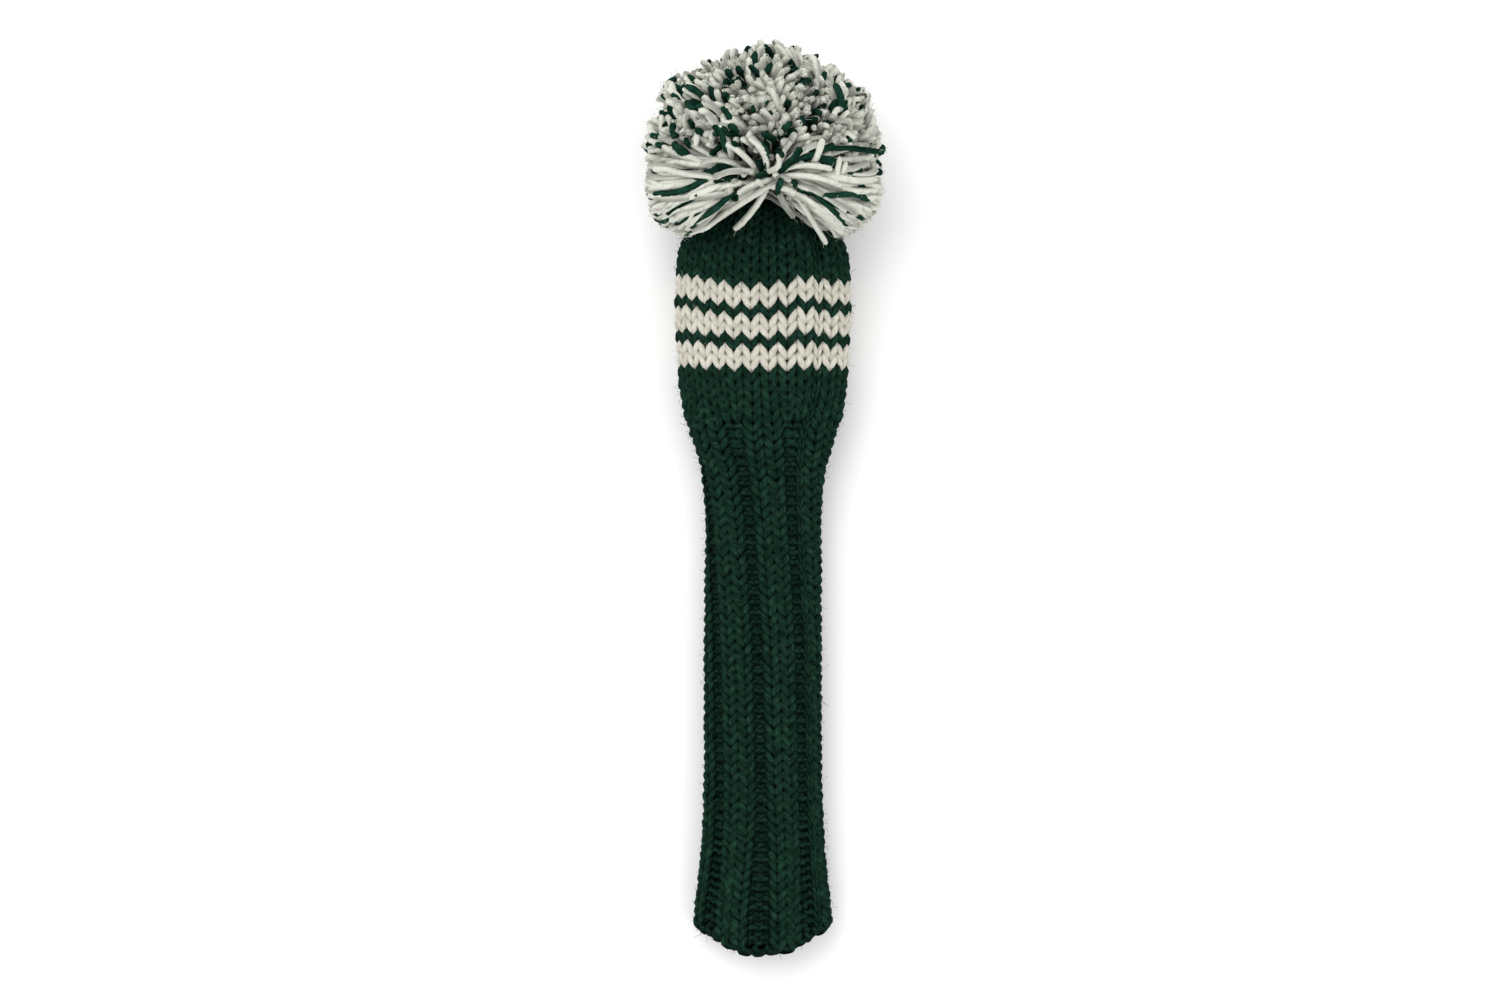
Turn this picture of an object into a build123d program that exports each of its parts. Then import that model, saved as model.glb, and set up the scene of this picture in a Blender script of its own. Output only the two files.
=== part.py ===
from build123d import *
import math
import os

os.makedirs("parts", exist_ok=True)

# A hand-knit sock cover for the head of a golf driver, lying on its back.
# +Y runs from the open hem to the pom-pom, +Z is up, the underside rests on Z = 0,
# and the origin is under the middle of the whole cover.  Millimetres.

# ---- driving dimensions ----
length_half = 228.5     # hem to the top of the pom-pom, halved
wall = 6.3              # knitted wall, two yarns thick
floor_dip = 1.3         # how far the knitted tube settles flat on its underside
gap = 0.35              # clearance between pieces of different bodies

# Outer section of the tube: place along Y, half width, half height, height of its middle
# (None: the section rests on the floor).
tube_stations = [
    (-length_half - 4, 36.4, 15.4, None),
    (-205.0, 34.4, 15.8, None),
    (-175.0, 30.8, 16.4, None),
    (-140.0, 29.6, 17.0, None),
    (-60.0, 29.4, 17.2, None),
    (-8.0, 29.6, 17.4, None),
    (15.0, 32.2, 19.0, None),
    (37.0, 38.6, 22.4, None),
    (58.0, 42.2, 25.0, None),
    (95.0, 44.2, 26.2, None),
    (121.0, 43.2, 25.6, None),
    (138.0, 36.6, 20.6, 27.4),
    (147.0, 25.2, 13.6, 29.2),
    (150.5, 14.0, 9.2, 30.0),
]
crown_inside = [
    (132.0, 33.2, 17.4, 26.6),
    (140.0, 22.0, 11.0, 28.6),
    (144.5, 9.4, 6.6, 30.0),
]
crown_inside_from = 118.0

# Where each knitted band begins and ends, from the hem up.
hem_top = -222.0
cuff_top = -170.0
cuff_zone_top = -130.0
lower_neck_top = -90.0
swing_zone_top = -46.0
mid_neck_top = -22.0
fold_zone_top = 26.0
shoulder_top = 38.0
head_body_top = 64.7
white_stripe_width = 10.3
green_stripe_width = 4.95
crown_top = 150.5

# Crown hole, tie and knot, all on the axis of the crown.
crown_axis_z = 30.0
crown_hole_radius = 8.0
tie_hole_radius = 5.0
tie_radius = 2.8
tie_ball_radius = 3.2
knot_radius = 6.5
knot_y = 135.5
nod_y = 153.5
drawstring_from = 145.0
drawstring_to = 150.0

# Pom-pom.
pom_half_width = 60.0
pom_radius = 51.6
pom_dip = 0.9
pom_centre_z = pom_radius - pom_dip
pom_centre_y = length_half - pom_radius
waist_y = 168.0
waist_z = 42.0
waist_ring_radius = 8.0
waist_ring_yarn = 1.8
core_base_y = 157.5
core_base_z = 32.0
core_base_radius = 8.0
core_half_angle = 63.0
green_rod_radius = 2.0
green_rod_count = 22
green_rod_start = 22.0
green_rod_spread = 52.0

# Seam column: angle round the section, from +X towards +Z, at the hem and at the head.
seam_width = 5.0
seam_angle_neck = 58.0
seam_angle_head = 49.5


def across(y):
    """A plane square to Y, facing the hem, with local X = X and local Y = Z."""
    return Plane(origin=(0, y, 0), x_dir=(1, 0, 0), z_dir=(0, -1, 0))


def middle_height(station):
    y, half_width, half_height, centre = station
    return half_height - floor_dip if centre is None else centre


def tube_solid(stations, grow):
    """A filled tube through the stations, its sections grown by an amount."""
    with BuildPart() as tube:
        for station in stations:
            y, half_width, half_height, centre = station
            with BuildSketch(across(y)):
                with Locations((0, middle_height(station))):
                    Ellipse(half_width + grow, half_height + grow)
        loft()
    return tube.part


# ---- the knitted wall, whole ----
hollow_stations = [s for s in tube_stations if s[0] <= crown_inside_from]
hollow_narrow = [(y, w - wall, h - wall, h - floor_dip) for y, w, h, c in hollow_stations]

with BuildPart() as wall_shell:
    add(tube_solid(tube_stations, 0))
    add(tube_solid(hollow_narrow + crown_inside, 0), mode=Mode.SUBTRACT)
    with Locations(Location(Plane(origin=(0, crown_top, crown_axis_z), z_dir=(0, 1, 0)))):
        Cylinder(crown_hole_radius, 4 * wall, mode=Mode.SUBTRACT)
    split(bisect_by=Plane.XY, keep=Keep.TOP)

# The hem bows towards the open end in one flat arc.
hem_sag = 5.0
hem_reach = 60.0
with BuildPart() as hem_trim:
    with BuildSketch(Plane.XY.offset(-1)):
        with BuildLine():
            ThreePointArc((-hem_reach, -length_half + 2.7 * hem_sag), (0, -length_half),
                          (hem_reach, -length_half + 2.7 * hem_sag))
            Line((hem_reach, -length_half + 2.7 * hem_sag), (hem_reach, length_half))
            Line((hem_reach, length_half), (-hem_reach, length_half))
            Line((-hem_reach, length_half), (-hem_reach, -length_half + 2.7 * hem_sag))
        make_face()
    extrude(amount=120)

# ---- the seam column, a thin wedge that follows the wall ----
with BuildPart() as seam_wedge:
    for station in tube_stations[:-2]:
        y, half_width, half_height, centre = station
        blend = min(max((y + 10) / 70, 0), 1)
        angle = seam_angle_neck + (seam_angle_head - seam_angle_neck) * blend
        turn = math.radians(angle)
        x = (half_width - wall / 2) * math.cos(turn)
        z = middle_height(station) + (half_height - wall / 2) * math.sin(turn)
        normal = math.degrees(math.atan2(math.sin(turn) / half_height, math.cos(turn) / half_width))
        with BuildSketch(across(y)):
            with Locations((x, z)):
                Rectangle(3 * wall, seam_width, rotation=normal)
    loft()


def stripe_edge(greens, whites):
    return head_body_top + greens * green_stripe_width + whites * white_stripe_width


# name of the band, name of its length of seam, lower edge, upper edge
bands = [
    ("cast_on_hem", None, -length_half - 3, hem_top),
    ("cuff_rib", "cuff_seam_yarn", hem_top, cuff_top),
    ("cuff_bend_rib", "cuff_bend_seam_yarn", cuff_top, cuff_zone_top),
    ("lower_neck_rib", "lower_neck_seam_yarn", cuff_zone_top, lower_neck_top),
    ("neck_swing_rib", "neck_swing_seam_yarn", lower_neck_top, swing_zone_top),
    ("mid_neck_rib", "mid_neck_seam_yarn", swing_zone_top, mid_neck_top),
    ("neck_fold_rib", "neck_fold_seam_yarn", mid_neck_top, fold_zone_top),
    ("shoulder_rib", "shoulder_seam_yarn", fold_zone_top, shoulder_top),
    ("head_body", "head_seam_yarn", shoulder_top, head_body_top),
    ("lower_white_stripe", None, stripe_edge(0, 0), stripe_edge(0, 1)),
    ("lower_green_stripe", None, stripe_edge(0, 1), stripe_edge(1, 1)),
    ("middle_white_stripe", None, stripe_edge(1, 1), stripe_edge(1, 2)),
    ("upper_green_stripe", None, stripe_edge(1, 2), stripe_edge(2, 2)),
    ("upper_white_stripe", None, stripe_edge(2, 2), stripe_edge(2, 3)),
    ("crown_panel", None, stripe_edge(2, 3), crown_top + 1),
]

for band_name, seam_name, low, high in bands:
    with BuildPart() as slab:
        add(wall_shell.part)
        add(hem_trim.part, mode=Mode.INTERSECT)
        split(bisect_by=across(low), keep=Keep.BOTTOM)
        split(bisect_by=across(high), keep=Keep.TOP)
    with BuildPart() as band:
        add(slab.part)
        if seam_name:
            add(seam_wedge.part, mode=Mode.SUBTRACT)
    band.part.label = band_name
    export_step(band.part, f"parts/{band_name}.step")
    if seam_name:
        with BuildPart() as seam:
            add(slab.part)
            add(seam_wedge.part, mode=Mode.INTERSECT)
        seam.part.label = seam_name
        export_step(seam.part, f"parts/{seam_name}.step")

# ---- the yarn that draws up the crown, wound round the hole that the tie goes through ----
with BuildPart() as crown_drawstring:
    with BuildSketch(Plane(origin=(0, drawstring_from, crown_axis_z), z_dir=(0, 1, 0))):
        Circle(crown_hole_radius)
        Circle(tie_hole_radius, mode=Mode.SUBTRACT)
    extrude(amount=drawstring_to - drawstring_from)
crown_drawstring.part.label = "crown_drawstring"
export_step(crown_drawstring.part, "parts/crown_drawstring.step")

# The white yarn is carried up the inside from stripe to stripe, beside the seam.
float_yarn_radius = 1.4
float_inset = wall + 2.4
float_turn = math.radians(seam_angle_head + 14)
float_x = (44.2 - float_inset) * math.cos(float_turn)
float_z = 26.2 - floor_dip + (26.2 - float_inset) * math.sin(float_turn)
float_from = stripe_edge(0, 1)
float_length = stripe_edge(2, 2) - float_from
with BuildPart() as carried_white_yarn:
    float_base = Plane(origin=(float_x, float_from, float_z), z_dir=(0, 1, 0))
    with Locations(Location(float_base)):
        Cylinder(float_yarn_radius, float_length, align=(Align.CENTER, Align.CENTER, Align.MIN))
carried_white_yarn.part.label = "carried_white_yarn"
export_step(carried_white_yarn.part, "parts/carried_white_yarn.step")

# ---- tie through the crown, and the knot that holds it inside ----
with BuildPart() as pompom_tie_tails:
    with Locations(Location(Plane(origin=(0, knot_y, crown_axis_z), z_dir=(0, 1, 0)))):
        Cylinder(tie_radius, nod_y - knot_y, align=(Align.CENTER, Align.CENTER, Align.MIN))
    with Locations((0, nod_y, crown_axis_z)):
        Sphere(tie_ball_radius)
    with Locations((0, knot_y, crown_axis_z)):
        Sphere(knot_radius, mode=Mode.SUBTRACT)
pompom_tie_tails.part.label = "pompom_tie_tails"
export_step(pompom_tie_tails.part, "parts/pompom_tie_tails.step")

with BuildPart() as anchor_knot:
    with Locations((0, knot_y, crown_axis_z)):
        Sphere(knot_radius)
anchor_knot.part.label = "anchor_knot"
export_step(anchor_knot.part, "parts/anchor_knot.step")

# ---- pom-pom ----
stem_run = Vector(0, waist_y - nod_y, waist_z - crown_axis_z)
nod_point = Vector(0, nod_y, crown_axis_z)

# Two wraps of yarn round the waist of the bundle, and the stem that leads to the crown.
with BuildPart() as pompom_tie:
    for side in (-1, 1):
        with Locations(Location(Plane(origin=(side * waist_ring_yarn * 0.9, waist_y, waist_z), z_dir=(1, 0, 0)))):
            Torus(waist_ring_radius, waist_ring_yarn)
    with Locations(Location(Plane(origin=nod_point, z_dir=stem_run))):
        Cylinder(tie_radius, stem_run.length - waist_ring_radius,
                 align=(Align.CENTER, Align.CENTER, Align.MIN))
    with Locations(nod_point):
        Sphere(tie_ball_radius + gap, mode=Mode.SUBTRACT)
pompom_tie.part.label = "pompom_tie"
export_step(pompom_tie.part, "parts/pompom_tie.step")

# The whole ball of strands, round about X, flat where it rests.
with BuildPart() as pom_ball:
    with BuildSketch(Plane(origin=(0, pom_centre_y, pom_centre_z), z_dir=(0, 0, 1))):
        Ellipse(pom_half_width, pom_radius)
        with Locations((0, -pom_radius)):
            Rectangle(2 * pom_half_width + 2, 2 * pom_radius, mode=Mode.SUBTRACT)
    revolve(axis=Axis((0, pom_centre_y, pom_centre_z), (1, 0, 0)))
    split(bisect_by=Plane.XY, keep=Keep.TOP)

# The strands in front of the crown keep their shape as the pom-pom tilts.
core_reach = 100.0
with BuildPart() as core_cone:
    core_top_radius = core_base_radius + core_reach * math.tan(math.radians(core_half_angle))
    with Locations(Location(Plane(origin=(0, core_base_y, core_base_z), z_dir=(0, 1, 0)))):
        Cone(core_base_radius, core_top_radius, core_reach,
             align=(Align.CENTER, Align.CENTER, Align.MIN))

# Green strands, spread evenly over the front of the ball.
golden_turn = math.pi * (3 - math.sqrt(5))
waist = Vector(0, waist_y, waist_z)
rod_planes = []
for index in range(green_rod_count):
    lean = math.radians(green_rod_spread) * math.sqrt((index + 0.5) / green_rod_count)
    around = index * golden_turn
    aim = Vector(math.sin(lean) * math.cos(around), math.cos(lean), math.sin(lean) * math.sin(around))
    rod_planes.append(Plane(origin=waist + aim * green_rod_start, z_dir=aim))

with BuildPart() as green_rods:
    for rod_plane in rod_planes:
        with Locations(Location(rod_plane)):
            Cylinder(green_rod_radius, 2 * pom_half_width, align=(Align.CENTER, Align.CENTER, Align.MIN))

with BuildPart() as pompom_green_strands:
    add(pom_ball.part)
    add(core_cone.part, mode=Mode.INTERSECT)
    add(green_rods.part, mode=Mode.INTERSECT)
pompom_green_strands.part.label = "pompom_green_strands"
export_step(pompom_green_strands.part, "parts/pompom_green_strands.step")

with BuildPart() as pompom_white_strands:
    add(pom_ball.part)
    add(core_cone.part, mode=Mode.INTERSECT)
    add(green_rods.part, mode=Mode.SUBTRACT)
    add(pompom_tie.part, mode=Mode.SUBTRACT)
    with Locations(nod_point):
        Sphere(tie_ball_radius + gap, mode=Mode.SUBTRACT)
pompom_white_strands.part.label = "pompom_white_strands"
export_step(pompom_white_strands.part, "parts/pompom_white_strands.step")

# The strands that drape back over the crown bend as the pom-pom tilts.  They part on the
# middle of the cover, one group to each side.
waist_space = 2 * (1.9 * waist_ring_yarn + gap)
for side_name, side_kept in (("left", Keep.BOTTOM), ("right", Keep.TOP)):
    with BuildPart() as skirt_strands:
        add(pom_ball.part)
        add(core_cone.part, mode=Mode.SUBTRACT)
        add(tube_solid(tube_stations, 2 * gap), mode=Mode.SUBTRACT)
        with Locations(Location(Plane(origin=(0, drawstring_to, core_base_z), z_dir=(0, 1, 0)))):
            Cylinder(core_base_radius - gap, 2 * wall,
                     align=(Align.CENTER, Align.CENTER, Align.MIN), mode=Mode.SUBTRACT)
        with Locations(Location(Plane(origin=waist, z_dir=(1, 0, 0)))):
            Cylinder(waist_ring_radius + waist_ring_yarn + gap, waist_space, mode=Mode.SUBTRACT)
        split(bisect_by=Plane.YZ, keep=side_kept)
    skirt_strands.part.label = f"pompom_{side_name}_skirt_strands"
    export_step(skirt_strands.part, f"parts/pompom_{side_name}_skirt_strands.step")
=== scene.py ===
import bpy
import math
import numpy as np
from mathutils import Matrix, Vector


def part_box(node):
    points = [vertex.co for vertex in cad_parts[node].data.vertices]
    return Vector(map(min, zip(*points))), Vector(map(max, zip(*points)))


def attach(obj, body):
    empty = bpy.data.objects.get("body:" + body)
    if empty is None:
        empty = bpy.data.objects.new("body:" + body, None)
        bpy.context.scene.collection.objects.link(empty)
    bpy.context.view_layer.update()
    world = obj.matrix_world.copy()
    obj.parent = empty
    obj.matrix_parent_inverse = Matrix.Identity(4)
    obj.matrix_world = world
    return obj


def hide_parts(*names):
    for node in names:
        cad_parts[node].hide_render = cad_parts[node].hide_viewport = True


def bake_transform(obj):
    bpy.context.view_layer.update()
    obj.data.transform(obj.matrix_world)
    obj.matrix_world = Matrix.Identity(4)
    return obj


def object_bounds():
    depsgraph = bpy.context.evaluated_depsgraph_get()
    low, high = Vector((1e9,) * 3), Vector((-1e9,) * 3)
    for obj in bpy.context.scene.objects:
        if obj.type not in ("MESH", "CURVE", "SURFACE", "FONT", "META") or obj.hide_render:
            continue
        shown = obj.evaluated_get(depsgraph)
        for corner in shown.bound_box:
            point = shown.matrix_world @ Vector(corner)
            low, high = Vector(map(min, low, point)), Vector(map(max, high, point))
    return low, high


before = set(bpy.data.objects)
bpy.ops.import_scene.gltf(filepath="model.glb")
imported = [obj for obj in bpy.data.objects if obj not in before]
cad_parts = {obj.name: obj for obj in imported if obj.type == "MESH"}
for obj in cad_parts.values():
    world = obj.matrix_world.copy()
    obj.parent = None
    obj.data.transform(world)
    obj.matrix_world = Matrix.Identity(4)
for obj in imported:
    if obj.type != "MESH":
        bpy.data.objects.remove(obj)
cad_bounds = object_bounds()
MM = 0.001
TAU = 2 * math.pi

# ---------------------------------------------------------------- size and gauge
LENGTH_HALF = cad_bounds[1][1]          # hem to the top of the pom-pom, halved
WALL = 6.3 * MM                         # thickness of the knitted wall
YARN = 1.92 * MM                        # radius of the knitting yarn
ROW = 5.07 * MM                         # height of a plain row
RIB_ROW = 4.93 * MM                     # height of a rib row
RIB_ROWS = 54
HEM_MARGIN = 6.4 * MM                   # from the hem to the middle of the first row
SIDES = 12                              # of a yarn's section
STEPS = 22                              # of a yarn's run through one stitch

# The knitted tube's outline, as its CAD bands have it: Y, half width, half height, middle's Z.
STATIONS = np.array([
    (-0.2325, 0.0364, 0.0154, 0.0141), (-0.2050, 0.0344, 0.0158, 0.0145),
    (-0.1750, 0.0308, 0.0164, 0.0151), (-0.1400, 0.0296, 0.0170, 0.0157),
    (-0.0600, 0.0294, 0.0172, 0.0159), (-0.0080, 0.0296, 0.0174, 0.0161),
    (0.0150, 0.0322, 0.0190, 0.0177), (0.0370, 0.0386, 0.0224, 0.0211),
    (0.0580, 0.0422, 0.0250, 0.0237), (0.0950, 0.0442, 0.0262, 0.0249),
    (0.1210, 0.0432, 0.0256, 0.0246), (0.1380, 0.0366, 0.0206, 0.0274),
    (0.1470, 0.0252, 0.0136, 0.0292), (0.1505, 0.0140, 0.0092, 0.0300),
    (0.1512, 0.0085, 0.0080, 0.0300),
])


def smooth(low, high, value):
    t = np.clip((value - low) / (high - low), 0, 1)
    return t * t * (3 - 2 * t)


# ---------------------------------------------------------------- the tube's surface
# Places on the tube: m runs along its side, in metres; f runs round it, 0 at the
# top of the tube, growing towards -X, 1 all the way round.
def tube_profile():
    y, a, b, z = STATIONS.T
    step = np.hypot(np.diff(y), np.diff(a))
    run = np.concatenate([[0], np.cumsum(step)])
    fine = np.linspace(0, run[-1], 700)
    spread = np.exp(-0.5 * (np.arange(-24, 25) * (fine[1] - fine[0]) / (4.5 * MM)) ** 2)
    spread /= spread.sum()
    rows = []
    for values in (y, a, b, z):
        line = np.interp(fine, run, values)
        padded = np.pad(line, 24, mode="reflect", reflect_type="odd")
        rows.append(np.convolve(padded, spread, mode="valid"))
    return fine, rows


RUN, (PROFILE_Y, PROFILE_A, PROFILE_B, PROFILE_Z) = tube_profile()
RUN = RUN + STATIONS[0, 0]              # m equals Y along the straight part
ROUND = 256


def arc_tables():
    """For each m, the angle round the section at even steps of arc, and the girth."""
    angle = np.linspace(0, TAU, 4 * ROUND + 1)
    tables, girths = [], []
    for a, b in zip(PROFILE_A - WALL / 2, PROFILE_B - WALL / 2):
        x, z = a * np.sin(angle), b * np.cos(angle)
        cut = np.maximum(z, -(b - 1.6 * MM))
        arc = np.concatenate([[0], np.cumsum(np.hypot(np.diff(x), np.diff(cut)))])
        girths.append(arc[-1])
        tables.append(np.interp(np.linspace(0, arc[-1], ROUND + 1), arc, angle))
    return np.array(tables), np.array(girths)


ANGLES, GIRTH = arc_tables()


def lookup(values, m):
    return np.interp(m, RUN, values)


def surface(m, f, lift):
    """Points on the knitted tube's middle surface, lifted outwards by lift."""
    place = np.clip(np.interp(m, RUN, np.arange(len(RUN))), 0, len(RUN) - 1.001)
    low = place.astype(int)
    share = place - low
    turn = np.mod(f, 1) * ROUND
    left = np.minimum(turn.astype(int), ROUND - 1)
    part = turn - left
    near = ANGLES[low, left] * (1 - part) + ANGLES[low, left + 1] * part
    far = ANGLES[low + 1, left] * (1 - part) + ANGLES[low + 1, left + 1] * part
    angle = near * (1 - share) + far * share
    a = lookup(PROFILE_A, m) - WALL / 2
    b = lookup(PROFILE_B, m) - WALL / 2
    nx, nz = np.sin(angle) / a, np.cos(angle) / b
    size = np.hypot(nx, nz)
    x = -(a * np.sin(angle) + lift * nx / size)
    z = lookup(PROFILE_Z, m) + b * np.cos(angle) + lift * nz / size
    rest = WALL / 2 + 0.5 * MM + np.minimum(lift * nz / size, 0) * 0.99
    z = rest + soft_floor(z - rest, 1.2 * MM)
    slope = np.interp(m, RUN, np.gradient(PROFILE_A, PROFILE_Y + np.arange(len(RUN)) * 1e-9))
    y = lookup(PROFILE_Y, m) - lift * np.clip(slope, -4, 4) / np.hypot(1, slope)
    return np.stack([x, y, z], axis=-1)


def soft_floor(height, radius):
    return np.where(height > radius, height,
                    np.where(height < -radius, 0, (height + radius) ** 2 / (4 * radius)))


# ---------------------------------------------------------------- stitch columns
# From the middle column of the rib on top, going towards -X.  K knit, P purl, S the seam.
COLUMNS = "KKPPKKPPKKPPKKPPKKPPKKSPP"
COLUMNS_ROUND = len(COLUMNS)
WIDE = {"K": 1.0, "P": 0.97, "S": 0.60}
RIB_WIDE = {"K": 1.0, "P": 0.40, "S": 0.32}
LEFT_EDGE = slice(3, 8)                 # columns that lie closer together on the head
OPEN_CHANNEL = slice(2, 4)              # columns that the hem stretches most
# How far to +X the middle of column 0 lies, along the tube: the ribs lean as they go.
LEAN_AT = np.array([-0.2285, -0.2000, -0.0695, 0.0280, 0.0645])
LEAN = np.array([15.5, 15.0, 11.5, 5.3, 2.6]) * MM


def column_edges(m):
    """Fraction round the tube of each column's edges, for rows of m."""
    ribbed = 1 - smooth(0.028, 0.064, m)
    plain = np.array([WIDE[c] for c in COLUMNS])
    plain[LEFT_EDGE] = 0.80
    plain[-1] = 1.12
    rib = np.array([RIB_WIDE[c] for c in COLUMNS])
    cuff = np.where(rib < 1, rib * 1.25, rib)
    cuff[OPEN_CHANNEL] = 0.78
    opened = 1 - smooth(-0.215, -0.135, m)
    rib = rib[None, :] * (1 - opened[:, None]) + cuff[None, :] * opened[:, None]
    widths = plain[None, :] * (1 - ribbed[:, None]) + rib * ribbed[:, None]
    widths /= widths.sum(axis=1, keepdims=True)
    edges = np.concatenate([np.zeros((len(m), 1)), np.cumsum(widths, axis=1)], axis=1)
    return edges - widths[:, :1] / 2


COLUMN_TABLE = column_edges(RUN)


def column_fraction(m, c):
    """Fraction round the tube at column place c, a whole number at each column's edge."""
    place = np.clip(np.interp(m, RUN, np.arange(len(RUN))), 0, len(RUN) - 1).round().astype(int)
    whole = np.floor(c)
    index = np.mod(whole, COLUMNS_ROUND).astype(int)
    left, right = COLUMN_TABLE[place, index], COLUMN_TABLE[place, index + 1]
    off_middle = -np.interp(m, LEAN_AT, LEAN) / lookup(GIRTH, m)
    return left + (right - left) * (c - whole) + whole // COLUMNS_ROUND + off_middle


IS_KNIT = np.array([c != "P" for c in COLUMNS], float)
IS_SEAM = np.array([c == "S" for c in COLUMNS], float)


def column_value(values, c, softness):
    """A value that each column has, eased across the columns' edges."""
    whole = np.floor(c)
    index = np.mod(whole, COLUMNS_ROUND).astype(int)
    inside = c - whole
    here = values[index]
    before = values[np.mod(index - 1, COLUMNS_ROUND)]
    after = values[np.mod(index + 1, COLUMNS_ROUND)]
    blend_before = 0.5 * (1 - smooth(0, softness, inside))
    blend_after = 0.5 * smooth(1 - softness, 1, inside)
    return here * (1 - blend_before - blend_after) + before * blend_before + after * blend_after


# How far the rows of the striped head rise towards the pom-pom, by column, round the tube.
RISE_AT = np.array([0, 1, 2, 3, 4, 5, 6, 9, 14, 19, 20, 21, 22, 23, 24, 25], float)
RISE_TOP = np.array([0, 0, 0.5, 2.0, 3.0, 4.6, 5.8, 5.2, 4.0, 3.0, 2.4, 1.9, 3.0, 4.2, 1.8, 0]) * MM
HEM_CORNER = 12 * MM                    # how far the hem rises from its middle to its sides


def row_rise(m, c):
    turn = np.mod(c - 0.5, COLUMNS_ROUND)
    lift = np.interp(turn, RISE_AT, RISE_TOP)
    head = lift * smooth(0.052, 0.098, m) * (1 - 0.6 * smooth(0.115, 0.16, m))
    sideways = np.abs(np.sin(TAU * column_fraction(m, c)))
    hem = HEM_CORNER * sideways ** 3 * (1 - smooth(-LENGTH_HALF, -LENGTH_HALF + 0.08, m))
    return head + hem


# ---------------------------------------------------------------- rows
def row_places():
    """The place of each row along the tube, from the hem up, and what each one is."""
    places, kinds = [], []
    m = -LENGTH_HALF + HEM_MARGIN
    for _ in range(RIB_ROWS):
        places.append(m)
        kinds.append("rib")
        m += RIB_ROW
    for kind, count in (("body", 5), ("white1", 2), ("green1", 1), ("white2", 2), ("green2", 1),
                        ("white3", 2), ("crown", 60)):
        for _ in range(count):
            if m > RUN[-1] - 1.5 * MM:
                break
            places.append(m)
            kinds.append(kind)
            m += ROW
    return np.array(places), kinds


ROW_AT, ROW_KIND = row_places()


def yarn_part(centres, lifts, painted_shade_relief, out_radius, side_radius, closed, twist_rate=0.0, lobes=0.0,
              sides=SIDES):
    """The skin of yarns.  centres is [yarns, points, 3]; lifts are the directions that count
    as outwards; the fourth argument is how far each point stands out, which the wool
    materials turn into painted shade; the section is side_radius wide and out_radius deep."""
    yarns, points, _ = centres.shape
    if closed:
        ahead, behind = np.roll(centres, -1, axis=1), np.roll(centres, 1, axis=1)
    else:
        ahead = np.concatenate([centres[:, 1:], 2 * centres[:, -1:] - centres[:, -2:-1]], axis=1)
        behind = np.concatenate([2 * centres[:, :1] - centres[:, 1:2], centres[:, :-1]], axis=1)
    tangent = ahead - behind
    tangent /= np.linalg.norm(tangent, axis=2, keepdims=True) + 1e-12
    side = np.cross(tangent, lifts)
    side /= np.linalg.norm(side, axis=2, keepdims=True) + 1e-12
    out = np.cross(side, tangent)
    step = np.linalg.norm(ahead - centres, axis=2)
    run = np.cumsum(step, axis=1) - step
    angle = np.arange(sides) * TAU / sides
    twist = run * twist_rate
    swell = 1 + lobes * np.cos(3 * (angle[None, None, :] - twist[:, :, None]))
    ring = (centres[:, :, None, :]
            + side[:, :, None, :] * (np.cos(angle) * swell)[..., None] * side_radius[:, :, None, None]
            + out[:, :, None, :] * (np.sin(angle) * swell)[..., None] * out_radius[:, :, None, None])
    # Height of each skin point, which the wool materials turn into painted shade: low points are darkened.
    painted_shade_height = painted_shade_relief[:, :, None] + np.sin(angle)[None, None, :] * out_radius[:, :, None]
    count = points if closed else points - 1
    p0 = np.arange(count)
    p1 = (p0 + 1) % points
    s0 = np.arange(sides)
    s1 = (s0 + 1) % sides
    base = (np.arange(yarns) * points * sides)[:, None, None]
    quads = np.stack([base + p0[None, :, None] * sides + s0[None, None, :],
                      base + p1[None, :, None] * sides + s0[None, None, :],
                      base + p1[None, :, None] * sides + s1[None, None, :],
                      base + p0[None, :, None] * sides + s1[None, None, :]], axis=-1).reshape(-1, 4)
    u0 = np.broadcast_to(s0[None, None, :] / sides, (yarns, count, sides))
    v0 = run[:, :count, None] + (np.arange(yarns) * 0.37)[:, None, None] + np.zeros((1, 1, sides))
    v1 = v0 + step[:, :count, None]
    uv = np.stack([np.stack([u0, v0], -1), np.stack([u0, v1], -1), np.stack([u0 + 1 / sides, v1], -1),
                   np.stack([u0 + 1 / sides, v0], -1)], axis=-2).reshape(-1, 2)
    caps = []
    if not closed:
        for yarn in range(yarns):
            start = yarn * points * sides
            caps.append([start + k for k in range(sides)][::-1])
            caps.append([start + (points - 1) * sides + k for k in range(sides)])
    return ring.reshape(-1, 3), quads, uv, caps, painted_shade_height.ravel()


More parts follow.
